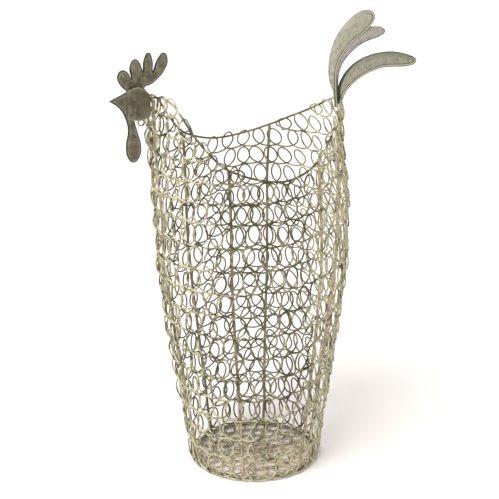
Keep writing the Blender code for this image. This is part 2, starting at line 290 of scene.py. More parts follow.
class Nodes:
    """Short ways to add and link shader nodes in one material."""

    def __init__(self, name):
        self.material = bpy.data.materials.new(name)
        self.material.use_nodes = True
        self.tree = self.material.node_tree
        self.shader = self.tree.nodes["Principled BSDF"]
        self.place = self.new("ShaderNodeTexCoord").outputs["Object"]

    def new(self, kind, **settings):
        node = self.tree.nodes.new(kind)
        for key, value in settings.items():
            setattr(node, key, value)
        return node

    def link(self, output, socket):
        self.tree.links.new(output, socket)

    def noise(self, scale, detail=4.0, roughness=0.6, stretch=(1, 1, 1)):
        """Noise from 0 to 1. A larger scale is finer, and stretch multiplies it along X, Y and Z."""
        mapping = self.new("ShaderNodeMapping")
        mapping.inputs["Scale"].default_value = stretch
        self.link(self.place, mapping.inputs["Vector"])
        noise = self.new("ShaderNodeTexNoise")
        noise.inputs["Scale"].default_value = scale
        noise.inputs["Detail"].default_value = detail
        noise.inputs["Roughness"].default_value = roughness
        self.link(mapping.outputs["Vector"], noise.inputs["Vector"])
        return noise.outputs["Fac"]

    def ramp(self, value, low, high, start=0.0, end=1.0):
        """value's range low to high mapped to start to end, smoothly and clamped."""
        step = self.new("ShaderNodeMapRange", interpolation_type="SMOOTHSTEP")
        self.link(value, step.inputs["Value"])
        for socket, number in zip(("From Min", "From Max", "To Min", "To Max"), (low, high, start, end)):
            step.inputs[socket].default_value = number
        return step.outputs["Result"]

    def mix(self, factor, first, second):
        """Two colours, or a colour output and a colour, mixed by a factor."""
        mix = self.new("ShaderNodeMix", data_type="RGBA")
        self.link(factor, mix.inputs["Factor"])
        for socket, colour in ((mix.inputs[6], first), (mix.inputs[7], second)):
            if isinstance(colour, tuple):
                socket.default_value = (*colour, 1)
            else:
                self.link(colour, socket)
        return mix.outputs[2]

    def combine(self, operation, first, second):
        """A sum or product of a value with a value or a number."""
        result = self.new("ShaderNodeMath", operation=operation)
        self.link(first, result.inputs[0])
        if isinstance(second, float):
            result.inputs[1].default_value = second
        else:
            self.link(second, result.inputs[1])
        return result.outputs[0]

    def times(self, first, second):
        return self.combine("MULTIPLY", first, second)

    def plus(self, first, second):
        return self.combine("ADD", first, second)

    def along(self, axis):
        """The X, Y or Z coordinate on the object, in metres."""
        split = self.new("ShaderNodeSeparateXYZ")
        self.link(self.place, split.inputs[0])
        return split.outputs[axis]

    def attribute(self, name):
        return self.new("ShaderNodeAttribute", attribute_name=name).outputs["Fac"]

    def band(self, value, start, full, fade, end):
        """1 where the value is between full and fade, falling to 0 at start and end."""
        return self.times(self.ramp(value, start, full), self.ramp(value, fade, end, 1.0, 0.0))

    def bump(self, height, distance, strength=1.0):
        bump = self.new("ShaderNodeBump")
        bump.inputs["Distance"].default_value = distance
        bump.inputs["Strength"].default_value = strength
        self.link(height, bump.inputs["Height"])
        self.link(bump.outputs["Normal"], self.shader.inputs["Normal"])

    def finish(self, colour, roughness, metallic):
        self.link(colour, self.shader.inputs["Base Color"])
        self.link(roughness, self.shader.inputs["Roughness"])
        self.shader.inputs["Metallic"].default_value = metallic
        return self.material


def shade_of(colour, factor):
    return tuple(factor * part for part in colour)


def wire_metal(name, bare, wash, stain, far, wash_low, wash_high):
    """Zinc-grey wire with a patchy, rubbed wash and darker stains, and painted light and shade.

    The wash covers more and is creamier at the head, at the tail, before the tail on the left and on the
    left of the base, as painted light. Elsewhere it is dull, and it covers less on the right side, as painted
    shade; the right side also fades towards the colour far. Lower values of wash_low and wash_high, between
    which the patches of wash fade in, leave more of the wire covered."""
    nodes = Nodes(name)
    x, y, z = (nodes.along(axis) for axis in "XYZ")
    # Painted light: the places where the wash is painted creamier and fuller, low on the left, before the
    # tail on the left, at the head and at the tail.
    low = nodes.ramp(z, 20 * MM, 160 * MM, 1.0, 0.0)
    low_left = nodes.times(low, nodes.ramp(y, -50 * MM, 30 * MM, 1.0, 0.0))
    before_tail = nodes.band(x, 28 * MM, 48 * MM, 60 * MM, 100 * MM)
    painted_light_places = nodes.ramp(x, -102 * MM, -50 * MM, 1.0, 0.0)
    for place in (
        nodes.ramp(x, 55 * MM, 100 * MM),
        low_left,
        nodes.times(before_tail, nodes.ramp(y, -60 * MM, 0.0, 1.0, 0.0)),
    ):
        painted_light_places = nodes.plus(painted_light_places, place)
    # Random patches of real wash, made fuller at those places as painted light and thinner on the right side
    # as painted shade.
    patches = nodes.noise(70, 3)
    for painted_light_and_shade in (
        nodes.times(painted_light_places, 0.11),
        nodes.times(low_left, 0.06),
        nodes.ramp(x, 60 * MM, 105 * MM, 0.0, 0.05),
        nodes.ramp(y, -90 * MM, 60 * MM, 0.0, -0.05),
    ):
        patches = nodes.plus(patches, painted_light_and_shade)
    wear_and_painted_light = nodes.noise(420, 6, 0.7)
    spots = nodes.noise(130, 4)
    wash_with_painted_light = nodes.mix(painted_light_places, shade_of(wash, 0.6), wash)
    colour = nodes.mix(nodes.ramp(patches, wash_low, wash_high), bare, wash_with_painted_light)
    colour = nodes.mix(nodes.ramp(spots, 0.5, 0.62, 0.0, 0.6), colour, stain)
    colour = nodes.mix(nodes.ramp(wear_and_painted_light, 0.5, 0.7, 0.0, 0.4), colour, bare)
    colour = nodes.mix(nodes.ramp(y, 10 * MM, 75 * MM, 0.0, 0.45), colour, far)
    nodes.bump(wear_and_painted_light, 0.25 * MM, 0.6)
    return nodes.finish(colour, nodes.ramp(wear_and_painted_light, 0.3, 0.7, 0.34, 0.58), 0.45)


def brushed(name, base, pale, dark, grain_stretch):
    """Sheet steel under a cloudy, brushed patina: its nodes, its colour and the noise that roughens it."""
    nodes = Nodes(name)
    grain = nodes.noise(380, 3, 0.6, grain_stretch)
    cloud = nodes.noise(110, 4)
    speck = nodes.noise(500, 5, 0.7)
    colour = nodes.mix(nodes.ramp(cloud, 0.42, 0.6), base, pale)
    colour = nodes.mix(nodes.ramp(grain, 0.45, 0.65, 0.0, 0.5), colour, dark)
    colour = nodes.mix(nodes.ramp(speck, 0.52, 0.7, 0.0, 0.45), colour, dark)
    nodes.bump(grain, 0.25 * MM, 0.5)
    return nodes, colour, speck


def comb_metal():
    """Dark olive patina with a reddish wattle and a greener beak. A pale patchy band along the raised border
    is painted highlight, a dark outline is painted shade and black on the rear side of each notch is painted
    shadow.

    The mesh's "inset" attribute holds each point's distance from the outline, in metres, and "notch_0" and so
    on its distances from the rear sides of the notches."""
    base, pale, dark = (0.115, 0.105, 0.062), (0.2, 0.188, 0.13), (0.035, 0.034, 0.02)
    reddish, beak_green, lobe_green = (0.145, 0.091, 0.055), (0.105, 0.122, 0.085), (0.2, 0.22, 0.13)
    wear_and_painted_light, black = (0.32, 0.325, 0.26), (0.008, 0.008, 0.005)
    nodes, colour, speck = brushed("dark_comb_patina_and_painted_light", base, pale, dark, (1, 1, 0.8))
    inset = nodes.attribute("inset")
    x, z = nodes.along("X"), nodes.along("Z")
    cloud = nodes.noise(90, 3)
    wattle = nodes.ramp(z, 382 * MM, 404 * MM, 1.0, 0.0)
    wattle = nodes.times(wattle, nodes.ramp(inset, 2.5 * MM, 6 * MM))
    colour = nodes.mix(nodes.times(wattle, 0.62), colour, reddish)
    beak = nodes.band(z, 428 * MM, 433 * MM, 448 * MM, 454 * MM)
    beak = nodes.times(beak, nodes.ramp(x, -153 * MM, -140 * MM, 1.0, 0.0))
    colour = nodes.mix(nodes.times(beak, 0.75), colour, beak_green)
    lobes = nodes.times(nodes.ramp(z, 466 * MM, 482 * MM), nodes.ramp(inset, 2 * MM, 4 * MM))
    colour = nodes.mix(nodes.times(lobes, 0.3), colour, lobe_green)
    # Painted highlight: a pale patchy band along the raised border.
    border = nodes.band(inset, 1.2 * MM, 1.8 * MM, 2.2 * MM, 3.8 * MM)
    border = nodes.times(border, nodes.ramp(cloud, 0.35, 0.6, 0.1, 0.5))
    colour = nodes.mix(border, colour, wear_and_painted_light)
    # Painted shade: a dark outline along the rounded edge.
    colour = nodes.mix(nodes.ramp(inset, 0.9 * MM, 1.7 * MM, 0.94, 0.0), colour, dark)
    # Painted shadow: near black along the rear side of each notch.
    for number in range(NOTCHES):
        shade = nodes.ramp(nodes.attribute(f"notch_{number}"), 1.4 * MM, 2.2 * MM, 0.88, 0.0)
        colour = nodes.mix(shade, colour, black)
    return nodes.finish(colour, nodes.ramp(speck, 0.3, 0.7, 0.4, 0.65), 0.45)


def hood_metal():
    """Dark brown patina with upright brush marks.

    The crown is darker, as painted shade, and the front edge, the lower back and the top and bottom edges are
    painted paler, as painted highlight and painted light. The mesh's "inset" attribute holds each point's
    distance from the nearer of the top and bottom edges, in metres."""
    base, pale, dark = (0.079, 0.07, 0.038), (0.158, 0.14, 0.083), (0.045, 0.038, 0.024)
    wear_and_painted_light, painted_highlight_edge = (0.25, 0.222, 0.152), (0.30, 0.28, 0.21)
    nodes, colour, speck = brushed("dark_hood_patina_and_painted_light", base, pale, dark, (1, 1, 0.12))
    inset = nodes.attribute("inset")
    x, z = nodes.along("X"), nodes.along("Z")
    # Painted shade: the crown is darker.
    crown = nodes.band(z, 434 * MM, 442 * MM, 450 * MM, 455 * MM)
    crown = nodes.times(crown, nodes.ramp(x, -138 * MM, -131 * MM))
    colour = nodes.mix(nodes.times(crown, 0.55), colour, dark)
    # Painted highlight along the front edge.
    colour = nodes.mix(nodes.ramp(x, -139.5 * MM, -137 * MM, 0.35, 0.0), colour, wear_and_painted_light)
    # Painted light: paler towards the lower back.
    lower_back = nodes.ramp(z, 424 * MM, 445 * MM, 1.0, 0.25)
    lower_back = nodes.times(lower_back, nodes.ramp(x, -132 * MM, -119 * MM))
    colour = nodes.mix(nodes.times(lower_back, 0.55), colour, wear_and_painted_light)
    # Painted highlight along the top and bottom edges.
    colour = nodes.mix(nodes.ramp(inset, 0.3 * MM, 2.2 * MM, 0.6, 0.0), colour, painted_highlight_edge)
    return nodes.finish(colour, nodes.ramp(speck, 0.3, 0.7, 0.4, 0.65), 0.45)


def feather_metal(name, root, tip, edge, dark, line, light, top_edge_shade):
    """A pale wash with painted shade in a dark crease inside the rolled hem and along the edges, and a
    painted highlight on the hem. Some feathers also have painted shade along the top edge, near black at the
    root as painted shadow.

    The mesh's attributes hold distances in metres: "hem" from the hemmed edge, "seam_end" from where the hem
    ends, "top" from the opposite edge and "reach" from the root. line is how far in the crease lies, light is
    how strong the painted highlight on the hem is and the last argument how dark the painted shade and shadow
    along the top edge are, from 0 to 1."""
    top_edge, black = (0.26, 0.26, 0.235), (0.02, 0.022, 0.012)
    nodes, colour, speck = brushed(name, root, shade_of(root, 1.15), shade_of(root, 0.6), (1, 1, 1))
    hem, top, reach = (nodes.attribute(a) for a in ("hem", "top", "reach"))
    blotch = nodes.noise(60, 4)
    green = nodes.times(nodes.ramp(reach, 25 * MM, 85 * MM), nodes.ramp(blotch, 0.38, 0.56, 0.35, 1.0))
    colour = nodes.mix(green, colour, tip)
    streaks = nodes.noise(210, 6, 0.75)
    colour = nodes.mix(nodes.ramp(streaks, 0.5, 0.62, 0.0, 0.62), colour, shade_of(tip, 0.55))
    colour = nodes.mix(nodes.ramp(streaks, 0.36, 0.46, 0.35, 0.0), colour, shade_of(root, 1.3))
    # Painted shade: darker towards the top edge, by the last argument.
    colour = nodes.mix(nodes.ramp(top, 1 * MM, 9 * MM, 0.5 * top_edge_shade, 0.0), colour, shade_of(tip, 0.5))
    # Painted shade in the crease inside the hem.
    seam = nodes.ramp(nodes.attribute("seam_end"), 1 * MM, 9 * MM)
    crease = nodes.band(hem, line - 0.6 * MM, line - 0.1 * MM, line + 0.3 * MM, line + 1.2 * MM)
    colour = nodes.mix(nodes.times(nodes.times(crease, 0.85), seam), colour, dark)
    # Painted highlight: a pale band on the hem.
    painted_highlight_hem = nodes.band(hem, 1.4 * MM, 1.8 * MM, line - 0.9 * MM, line - 0.5 * MM)
    colour = nodes.mix(nodes.times(nodes.times(painted_highlight_hem, light), seam), colour, edge)
    # Painted shade: a grey line along the top edge.
    colour = nodes.mix(nodes.ramp(top, 0.6 * MM, 1.6 * MM, 0.45, 0.0), colour, top_edge)
    # Painted shade: darker along the top edge, by the last argument.
    colour = nodes.mix(nodes.ramp(top, 0.8 * MM, 2.0 * MM, 0.75 * top_edge_shade, 0.0), colour, dark)
    shadow = nodes.ramp(nodes.plus(nodes.times(reach, 0.07), top), 4.2 * MM, 5.4 * MM, 0.97 * top_edge_shade, 0.0)
    colour = nodes.mix(shadow, colour, black)
    # Painted shade: a dark line along the outer edge of the hem.
    outer = nodes.ramp(hem, 1.2 * MM, 1.8 * MM, 0.45 + 0.52 * top_edge_shade, 0.0)
    colour = nodes.mix(outer, colour, shade_of(tip, 0.25))
    return nodes.finish(colour, nodes.ramp(speck, 0.3, 0.7, 0.45, 0.7), 0.35)


# Wires


def stand_for(piece, node):
    """Puts a finished piece on the rigid body, in place of its node's CAD solid."""
    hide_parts(node)
    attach(piece, "root")


def wire(name, points, radius, material, closed=False, resolution=3):
    """A round wire along the points."""
    curve = bpy.data.curves.new(name, "CURVE")
    curve.dimensions = "3D"
    curve.bevel_depth = radius
    curve.bevel_resolution = resolution
    curve.use_fill_caps = True
    spline = curve.splines.new("POLY")
    spline.points.add(len(points) - 1)
    for spot, point in zip(spline.points, points):
        spot.co = (*point, 1)
    spline.use_smooth = True
    spline.use_cyclic_u = closed
    curve.materials.append(material)
    piece = bpy.data.objects.new(name, curve)
    bpy.context.scene.collection.objects.link(piece)
    return piece


def hand_bent(points, wander, rng):
    """The points moved smoothly by up to wander along X and Y, as hand-bent wire wavers."""
    count = len(points) // KNOT_POINTS + 3
    knots = [Vector((rng.uniform(-1, 1), rng.uniform(-1, 1), 0)) * wander for _ in range(count)]
    bent = []
    for i, point in enumerate(points):
        at, t = divmod(i / KNOT_POINTS, 1)
        bent.append(Vector(point) + knots[int(at)].lerp(knots[int(at) + 1], smooth(t)))
    return bent


def rim_outward(bearing):
    """How far the rim stands out from the ribs' centres: less at the tail, where its sides meet."""
    closing = smooth((from_head(bearing) - RIM_CLOSES_IN) / (180 - RIM_CLOSES_IN))
    return RIM_OUTWARD + (RIM_TAIL_OUTWARD - RIM_OUTWARD) * closing


def ribs(material):
    """Upright wires whose tops bend out under the rim."""
    for place, bearing in RIB_BEARINGS.items():
        rng = random.Random(bearing)
        name = "rib_" + place
        top = rim_height(bearing) - RIM_RADIUS
        points = []
        for i in range(RIB_STEPS + 1):
            height = RING_HEIGHT + (top - RING_HEIGHT) * i / RIB_STEPS
            bend = clamp((height - top + RIB_BEND) / RIB_BEND) ** 2
            outward = (rim_outward(bearing) - RIM_RADIUS) * RIB_REACH * bend
            points.append(body_point(bearing, height, outward))
        radius = TAIL_RIB_RADIUS if place == "tail" else RIB_RADIUS
        stand_for(wire(name + "_wire", hand_bent(points, RIB_WANDER, rng), radius, material), name)


def rim(material):
    """The wire that closes the open top."""
    points = [body_point(b, rim_height(b), rim_outward(b)) for b in np.arange(0, 360, RIM_STEP)]
    points = hand_bent(points, RIM_WANDER, random.Random(7))
    stand_for(wire("rim_wire", points, RIM_RADIUS, material, closed=True), "rim")


def loop_bearings(number, start, end, rng):
    """The bearings between a tier's loops, from start to end. Loops are wider apart on the right side."""
    bearings = [start]
    while bearings[-1] < end:
        at = bearings[-1]
        spacing = RIGHT_SPACING if at % 360 > 180 else LEFT_SPACING
        spacing *= 1 + rng.uniform(-SPACING_SPREAD, SPACING_SPREAD)
        bearings.append(at + math.degrees(spacing / radius_at(tier_height(number, at))))
    fit = (end - start) / (bearings[-1] - start)
    return [start + (bearing - start) * fit for bearing in bearings]


def toward_tail(bearing):
    """0 from the head to halfway along the side, rising to 1 near the tail."""
    return smooth((from_head(bearing) - 90) / 70)


def advance(turn):
    """How far along its baseline a loop's wire has come, from 0 to 1, after a turn of 0 to 2 pi.

    It moves mostly while the wire is low, so that the upper part of the loop stays round."""
    return (turn + 4 / 3 * math.sin(turn) + math.sin(2 * turn) / 3) / math.tau


def loop_of(number, left, right, dip, next_dip, rng):
    """The points of one loop of a tier, from one bearing to the next.

    dip and next_dip are how far the baseline is from even at each end. The loop's width, lean, bulge and
    height are drawn at random."""
    on_right = left % 360 > 180
    turn = right - left
    middle = (left + right) / 2
    spacing = math.radians(turn) * radius_at(tier_height(number, left))
    at_head = smooth(1.5 - from_head(middle) / 20)  # 1 within 10 degrees of the head, 0 past 30
    width = (RIGHT_WIDTH if on_right else LEFT_WIDTH) * rng.uniform(*WIDTH_RANGE)
    if on_right:
        width *= 1 - TAIL_NARROWING * toward_tail(middle)
    tail_lean = RIGHT_TAIL_LEAN if middle % 360 > 180 else LEFT_TAIL_LEAN
    lean = rng.gauss(0, LEAN_SPREAD) + tail_lean * toward_tail(middle)
    bulge = rng.uniform(FLATTEST, ROUNDEST + HEAD_BULGE * at_head) * MM
    bulge -= FOOT_HUG * smooth(1 - number / HUGGING_TIERS)
    stretch = rng.uniform(*STRETCH_RANGE) * MM
    proud = rng.choice(PROUD_TOPS) * MM * (1 - at_head) - HEAD_SHORTFALL * at_head
    points = []
    for i in range(LOOP_STEPS):
        angle = math.tau * i / LOOP_STEPS
        up = (1 - math.cos(angle)) / 2
        sideways = width / 2 * math.sin(angle) + lean * up
        place = left + turn * advance(angle) + turn * sideways / spacing
        base = tier_height(number, place) - (FOOT_DROP if number == 0 else 0)
        top = tier_height(number + 1, place) + OVERSHOOT + stretch
        top = min(top, rim_height(place) + RIM_RADIUS + proud)
        height = base + dip + (next_dip - dip) * angle / math.tau + (top - base) * up
        outward = TIER_OUTWARD + WEAVE * math.cos(angle) - CROSSING * math.sin(angle)
        outward += bulge * 4 * up * (1 - up)
        outward += FOOT_FLARE * (1 - up) if number == 0 else 0
        points.append(body_point(place, height, outward))
    return points


def looped_wire(name, number, start, end, rng, material):
    """One tier: a wire that curls over itself into a row of loops standing on its own baseline.

    A full tier closes on itself. The ends of a part tier run up to the rim."""
    closed = end - start == 360
    bearings = loop_bearings(number, start, end, rng)
    lowest = 0 if number == 0 else LOWEST_DIP  # the first tier stays clear of the floor
    dips = [rng.uniform(lowest, HIGHEST_DIP) * MM for _ in bearings]
    dips[-1] = dips[0] if closed else dips[-1]
    points = []
    for left, right, dip, next_dip in zip(bearings, bearings[1:], dips, dips[1:]):
        points += loop_of(number, left, right, dip, next_dip, rng)
    if not closed:
        points.insert(0, body_point(start, rim_height(start), TIER_OUTWARD))
        points.append(body_point(end, rim_height(end), TIER_OUTWARD))
    return wire(name, points, LOOP_RADIUS, material, closed=closed, resolution=2)


def tiers(material):
    """The full tiers, each starting at a bearing of its own, and the part tiers of the neck and the tail."""
    for number in range(RING_TIERS):
        node = f"tier_{number + 1:02d}"
        start = SEAM_TURN * number % 360
        rng = random.Random(number)
        stand_for(looped_wire(node + "_loops", number, start, start + 360, rng, material), node)
    for place, middle, count in (("neck", 0, NECK_TIERS), ("tail", 180, TAIL_TIERS)):
        for i in range(count):
            node = f"tier_{place}_{i + 1}"
            rng = random.Random(50 + middle + i)
            ends = tier_ends(RING_TIERS + i, middle)
            stand_for(looped_wire(node + "_loops", RING_TIERS + i, *ends, rng, material), node)


def base(ring_material, material):
    """The base ring, and the floor's crossed wires and rows of curls."""
    radius = RING_HEIGHT / 2
    angles = np.arange(0, math.tau, RING_STEP)
    points = [(BASE_RADIUS * math.cos(a), BASE_RADIUS * math.sin(a), radius) for a in angles]
    stand_for(wire("base_ring_wire", points, radius, ring_material, closed=True), "base_ring")
    reach = box_sides("floor_cross")[0] / 2
    for i in range(CROSS_WIRES):
        angle = math.pi * i / CROSS_WIRES
        tip = Vector((reach * math.cos(angle), reach * math.sin(angle), 0))
        points = []
        for step in range(CROSS_STEPS + 1):
            ripple = Vector((0, 0, CROSS_RADIUS + CROSS_RIPPLE * math.sin(step)))
            points.append(tip.lerp(-tip, step / CROSS_STEPS) + ripple)
        stand_for(wire(f"floor_cross_wire_{i + 1}", points, CROSS_RADIUS, material), "floor_cross")
    for number, count in enumerate(FLOOR_CURLS, 1):
        node = f"floor_row_{number}"
        outer = box_sides(node)[0] / 2 - LOOP_RADIUS
        curls(node, outer, count, random.Random(90 + number), material)


def curls(node, outer, count, rng, material):
    """One floor row: a ring of wire that curls over itself into loops lying flat, towards the centre."""
    points = []
    for loop in range(count):
        swing = CURL_WIDTH / 2 * rng.uniform(1 - CURL_SPREAD, 1 + CURL_SPREAD)
        inward = min(CURL_DEPTH * rng.uniform(*CURL_DEPTH_RANGE), outer * CURL_LIMIT)
        tilt = rng.uniform(*CURL_TILT) * MM
        lean = rng.gauss(0, CURL_LEAN_SPREAD)
        for i in range(LOOP_STEPS):
            turn = math.tau * i / LOOP_STEPS
            along = (1 - math.cos(turn)) / 2
            radius = outer - inward * along
            across = swing * math.sin(turn) + lean * along
            angle = math.tau * (loop + advance(turn)) / count + across / max(radius, swing)
            lift = FLOOR_HEIGHT + tilt * along
            lift += CURL_WEAVE * math.cos(turn) - CURL_CROSSING * math.sin(turn)
            points.append((radius * math.cos(angle), radius * math.sin(angle), lift))
    stand_for(wire(node + "_curls", points, LOOP_RADIUS, material, closed=True, resolution=2), node)


# Sheets


def outline_of(node):
    """The outline of a flat upright CAD sheet as (x, z) points in order, and the sheet's y."""
    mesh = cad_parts[node].data
    edges = {}  # a dict and not a set, because it keeps its order
    for face in mesh.polygons:
        if face.normal.y < -0.99:
            ring = [tuple(round(c, 6) for c in mesh.vertices[i].co) for i in face.vertices]
            edges.update(dict.fromkeys(zip(ring, ring[1:] + ring[:1])))
    following = {a: b for a, b in edges if (b, a) not in edges}
    start = next(iter(following))
    points = [start]
    while following[points[-1]] != start:
        points.append(following[points[-1]])
    low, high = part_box(node)
    return np.array([(x, z) for x, _, z in points]), (low[1] + high[1]) / 2


def resample(outline, step):
    """The closed outline with points a step apart, keeping its corners."""
    result = []
    for first, second in zip(outline, np.roll(outline, -1, axis=0)):
        pieces = max(round(np.linalg.norm(second - first) / step), 1)
        result += [first + (second - first) * i / pieces for i in range(pieces)]
    return np.array(result)


def nearest_of(start, end, points):
    """Each point's distance from the nearest of the segments."""
    along = end - start
    away = points[:, None] - start[None]
    t = np.clip((away * along).sum(2) / np.maximum((along**2).sum(1), 1e-18), 0, 1)
    return np.linalg.norm(away - t[..., None] * along, axis=2).min(1)


def distance_to(outline, points):
    """Each point's distance from the closed outline, and whether it is inside."""
    start, end = outline, np.roll(outline, -1, axis=0)
    rises = (start[:, 1] > points[:, None, 1]) != (end[:, 1] > points[:, None, 1])
    with np.errstate(divide="ignore", invalid="ignore"):
        slope = (end[:, 0] - start[:, 0]) / (end[:, 1] - start[:, 1])
        cross = start[:, 0] + (points[:, None, 1] - start[:, 1]) * slope
    return nearest_of(start, end, points), (rises & (points[:, None, 0] < cross)).sum(1) % 2 == 1


def inner_points(outline):
    """Points inside the outline: rings that follow its edge, and a grid beyond them."""
    after = np.roll(outline, -1, axis=0) - np.roll(outline, 1, axis=0)
    normal = np.stack([-after[:, 1], after[:, 0]], 1)
    normal /= np.maximum(np.linalg.norm(normal, axis=1, keepdims=True), 1e-9)
    if distance_to(outline, outline + normal * 0.05 * MM)[1].mean() < 0.5:  # if most of them point outward
        normal = -normal
    found = []
    for inset in EDGE_RINGS:
        ring = outline + normal * inset * MM
        apart, inside = distance_to(outline, ring)
        found.append(ring[inside & (apart > RING_CLEARANCE * inset * MM)])
    columns, rows = (np.arange(low, high, GRID_STEP) for low, high in zip(outline.min(0), outline.max(0)))
    grid = np.stack(np.meshgrid(columns, rows), -1).reshape(-1, 2)
    apart, inside = distance_to(outline, grid)
    found.append(grid[inside & (apart > GRID_INSET)])
    return np.concatenate(found)


def triangulated(outline):
    """The points of a flat sheet cut to the outline, and its triangles, all turned to face -Y."""
    points = np.concatenate([outline, inner_points(outline)])
    ends = [(i, (i + 1) % len(outline)) for i in range(len(outline))]
    found, _, faces, *_ = delaunay_2d_cdt([Vector(p) for p in points], ends, [], 1, 1e-7)
    flat = np.array([tuple(p) for p in found])
    corners = flat[np.array([face[:3] for face in faces])]
    turned = np.cross(corners[:, 1] - corners[:, 0], corners[:, 2] - corners[:, 0]).sum() > 0
    return flat, [tuple(face) if turned else tuple(reversed(face)) for face in faces]


def pressed_sheet(name, node, outline, side, form, material, lines):
    """A sheet cut to an outline, with rounded edges, standing at y = side.

    lines gives named chains of points, from which each point's distance is measured. form(distances, x, z)
    gives half the sheet's thickness and how far its middle stands towards +Y."""
    outline = resample(outline, OUTLINE_STEP)
    flat, front_faces = triangulated(outline)
    distances = {"inset": distance_to(outline, flat)[0]}
    for line, chain in lines.items():
        distances[line] = nearest_of(chain[:-1], chain[1:], flat)
    x, z = flat[:, 0], flat[:, 1]
    half, middle = form(distances, x, z)
    centre = side + middle
    edge = distances["inset"] < 1e-6
    half[edge] = 0
    front = np.stack([x, centre - half, z], 1)
    back = np.stack([x, centre + half, z], 1)
    back_index = np.where(edge, np.arange(len(flat)), np.cumsum(~edge) - 1 + len(flat))
    back_faces = [tuple(int(back_index[i]) for i in reversed(face)) for face in front_faces]
    mesh = bpy.data.meshes.new(name)
    mesh.from_pydata(np.concatenate([front, back[~edge]]).tolist(), [], front_faces + back_faces)
    for line, distance in distances.items():
        values = np.concatenate([distance, distance[~edge]])
        mesh.attributes.new(line, "FLOAT", "POINT").data.foreach_set("value", values)
    mesh.materials.append(material)
    mesh.shade_smooth()
    piece = bpy.data.objects.new(name, mesh)
    bpy.context.scene.collection.objects.link(piece)
    stand_for(piece, node)


def rounded(inset, half):
    """Half thickness that rounds off to nothing at the edge."""
    return half * np.sqrt(np.maximum(1 - (1 - np.clip(inset / half, 0, 1)) ** 2, 0))


def ridge(distance, centre, width, height):
    """A low rounded ridge along a line."""
    return height * np.exp(-(((distance - centre) / width) ** 2))


def eased(values):
    """Each of the values clamped to 0 to 1, with level ends."""
    values = np.clip(values, 0, 1)
    return values * values * (3 - 2 * values)


def head_plate(material):
    """Comb, beak and wattle with a raised border and slightly cushioned lobes."""
    def form(distances, x, z):
        inset = distances["inset"]
        cushion = CUSHION_HEIGHT * np.clip((inset - CUSHION_START) / CUSHION_SLOPE, 0, 1) ** 0.5
        half = rounded(inset, SHEET_HALF) + ridge(inset, *BORDER_RIDGE) + cushion
        return half, 0 * x

    outline, side = outline_of("head_plate")
    notches = notch_sides(resample(outline, OUTLINE_STEP))
    lines = {f"notch_{number}": chain for number, chain in enumerate(notches)}
    pressed_sheet("comb_beak_wattle", "head_plate", outline, side, form, material, lines)


def notch_sides(outline):
    """The rear side of each notch between the comb's lobes, as points from its bottom up."""
    chains = []
    for i, (_, z) in enumerate(outline):
        around = outline.take(range(i - NOTCH_NEAR, i + NOTCH_NEAR + 1), axis=0, mode="wrap")
        if z > NOTCH_FLOOR and around[:, 1].argmin() == NOTCH_NEAR:
            runs = (range(i, i + NOTCH_POINTS * step, step) for step in (1, -1))
            sides = [outline.take(run, axis=0, mode="wrap") for run in runs]
            chains.append(max(sides, key=lambda chain: chain[-1, 0]))
    assert len(chains) == NOTCHES
    return chains


def edges_of(outline):
    """The under edge, from the root round the tip, and the top edge of a feather's outline."""
    root = int(np.argmin(outline[:, 1] - 0.01 * outline[:, 0]))
    outline = np.roll(outline, -root, axis=0)
    tip = int(np.argmax(np.linalg.norm(outline - outline[0], axis=1)))
    closed = np.concatenate([outline, outline[:1]])
    chains = [closed[:tip + 1], closed[tip:][::-1]]
    top, under = sorted(chains, key=lambda chain: (chain[:, 0] - chain[:, 1]).mean())
    return np.concatenate([under, top[::-1][1:PAST_TIP + 1]]), top


def feathers(materials):
    """Dished blades, hemmed along their under edge and round the tip."""
    def form(distances, x, z):
        hem = eased((distances["seam_end"] - HEM_END) / HEM_FADE) * ridge(distances["hem"], *HEM_RIDGE)
        dish = 1 - (1 - np.clip(distances["inset"] / DISH_SLOPE, 0, 1)) ** 2
        dish *= eased((z - DISH_START) / DISH_RISE)
        return rounded(distances["inset"], SHEET_HALF) + hem, -DISH_DEPTH * dish

    for node, material in materials.items():
        outline, side = outline_of(node)
        outline = resample(outline, OUTLINE_STEP)
        outline = flared(outline) if node == "feather_lower" else outline
        hem, top = edges_of(outline)
        root = outline[outline[:, 1] < outline[:, 1].min() + 0.1 * MM]
        lines = {"hem": hem, "seam_end": hem[-2:], "top": top, "reach": root}
        pressed_sheet(node + "_blade", node, outline, side, form, material, lines)


def flared(outline):
    """The lower feather's outline with its under edge sweeping down into the root instead of stepping in."""
    x, z = outline[:, 0], outline[:, 1]
    foot, joint = z.min(), 441.5 * MM  # where the sweep starts and where it meets the CAD's edge
    foot_x, joint_x = 108.5 * MM, 120.5 * MM
    root_middle = 105.5 * MM  # x behind this is the under edge's
    under = (x > root_middle) & (z < joint)
    sweep = foot_x + (joint_x - foot_x) * ((z - foot) / (joint - foot)) ** 2.4
    return np.stack([np.where(under, sweep, x), z], 1)


